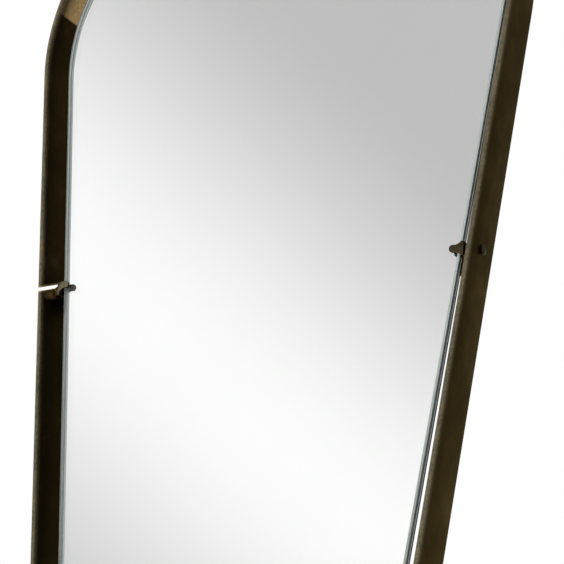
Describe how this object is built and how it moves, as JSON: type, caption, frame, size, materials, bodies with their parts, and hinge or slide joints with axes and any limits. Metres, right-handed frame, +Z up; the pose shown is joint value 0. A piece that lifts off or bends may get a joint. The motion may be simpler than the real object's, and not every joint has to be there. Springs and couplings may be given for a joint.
{
  "type": "extendable shaving mirror",
  "caption": "Tapering arch-topped mirror that tilts in a thin dark brass hoop, on a swivel and a wall-mounted scissor arm that pulls out.",
  "frame": {"origin": "centre of the wall plate's back face", "axes": "+Y points into the wall, +Z is up, +X is to the user's right when facing the mirror"},
  "size_m": [0.2052, 0.1181, 0.3507],
  "materials": {
    "aged_brass": "dark patina, edges rubbed to tan",
    "worn_brass": "aged, handled",
    "dark_steel": "bronze lacquer, satin",
    "clear_glass": "polished",
    "silvering": "mirror",
    "backing_paint": "matt paint"
  },
  "bodies": {
    "wall": {"wall_plate": "dark_steel", "wall_channel": "dark_steel", "wall_channel_rivets": "worn_brass", "wall_pivot_pin": "worn_brass", "wall_pivot_spacer": "worn_brass", "wall_pivot_washers": "worn_brass"},
    "link_a1": {"link_a1_left": "dark_steel", "link_a1_right": "dark_steel", "cross_pin_1": "worn_brass", "cross_spacer_1": "worn_brass", "upper_pin": "worn_brass", "upper_spacer": "worn_brass"},
    "link_b1": {"link_b1_left": "dark_steel", "link_b1_right": "dark_steel", "wall_slide_pin": "worn_brass", "wall_slide_spacer": "worn_brass", "lower_pin": "worn_brass", "lower_spacer": "worn_brass"},
    "link_a2": {"link_a2_left": "dark_steel", "link_a2_right": "dark_steel", "cross_pin_2": "worn_brass", "cross_spacer_2": "worn_brass", "head_slide_pin": "worn_brass", "head_slide_spacer": "worn_brass"},
    "link_b2": {"link_b2_left": "dark_steel", "link_b2_right": "dark_steel"},
    "head": {"head_channel": "dark_steel", "head_pivot_pin": "worn_brass", "head_pivot_spacer": "worn_brass", "head_pivot_washers": "worn_brass", "swivel_bracket": "dark_steel", "bracket_rivets": "worn_brass", "swivel_pin": "worn_brass", "swivel_nuts": "worn_brass"},
    "yoke": {"swivel_barrel": "aged_brass", "cross_strap": "aged_brass", "strap_rivets": "worn_brass", "hoop_band": "aged_brass"},
    "mirror": {"mirror_glass": "clear_glass", "mirror_silvering": "silvering", "backing_sheet": "backing_paint", "left_clip": "aged_brass", "right_clip": "aged_brass", "clip_rivets": "worn_brass", "pivot_bushes": "worn_brass", "pivot_screws": "worn_brass"}
  },
  "joints": [
    {"name": "arm_extend", "type": "hinge", "parent": "wall", "child": "link_a1", "pos_m": [0, -0.013, -0.058], "axis": [1, 0, 0], "range_deg": [-1, 49]},
    {"name": "first_cross", "type": "hinge", "parent": "link_a1", "child": "link_b1", "pos_m": [0, -0.02605, -0.00149], "axis": [1, 0, 0], "range_deg": [-98, 2]},
    {"name": "lower_join", "type": "hinge", "parent": "link_b1", "child": "link_a2", "pos_m": [0, -0.03909, -0.058], "axis": [1, 0, 0], "range_deg": [-2, 98]},
    {"name": "second_cross", "type": "hinge", "parent": "link_a2", "child": "link_b2", "pos_m": [0, -0.05214, -0.00149], "axis": [1, 0, 0], "range_deg": [-98, 2]},
    {"name": "head_level", "type": "hinge", "parent": "link_b2", "child": "head", "pos_m": [0, -0.06519, -0.058], "axis": [1, 0, 0], "range_deg": [-1, 49]},
    {"name": "head_swivel", "type": "hinge", "parent": "head", "child": "yoke", "pos_m": [0, -0.08519, 0], "axis": [0, 0, 1], "range_deg": [-35, 35]},
    {"name": "mirror_tilt", "type": "hinge", "parent": "yoke", "child": "mirror", "pos_m": [0, -0.10809, 0], "axis": [1, 0, 0], "range_deg": [-18, 18]}
  ],
  "couplings": [
    {"joint": "first_cross", "follows": "arm_extend", "ratio": -2},
    {"joint": "lower_join", "follows": "arm_extend", "ratio": 2},
    {"joint": "second_cross", "follows": "arm_extend", "ratio": -2},
    {"joint": "head_level", "follows": "arm_extend", "ratio": 1}
  ]
}
